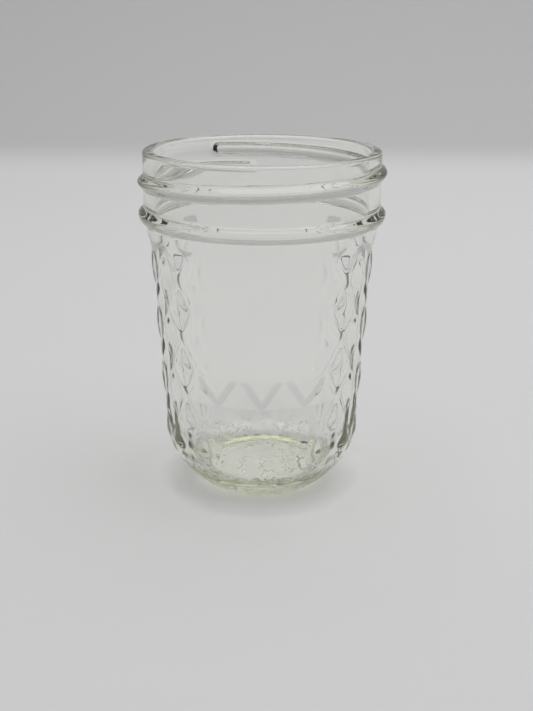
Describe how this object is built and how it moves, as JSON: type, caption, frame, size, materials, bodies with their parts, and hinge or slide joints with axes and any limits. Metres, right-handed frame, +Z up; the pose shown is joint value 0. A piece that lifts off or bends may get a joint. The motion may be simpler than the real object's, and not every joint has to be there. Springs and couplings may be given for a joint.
{
  "type": "glass jar",
  "caption": "Open glass jar with a screw-thread neck, a bead and a tapered body quilted with diamonds round a smooth panel, kept as a bank for coins.",
  "frame": {"origin": "on the jar's axis, at the plane of the bearing ring that it stands on", "axes": "+Z up along the jar's axis; the smooth front panel faces -Y; +X is to the right seen from the front"},
  "size_m": [0.0694, 0.0694, 0.0975],
  "materials": {
    "clear_glass": "clear, glossy pressed glass with a faint olive tint where it is thick"
  },
  "bodies": {
    "root": {"glass_jar": "clear_glass"}
  },
  "joints": []
}
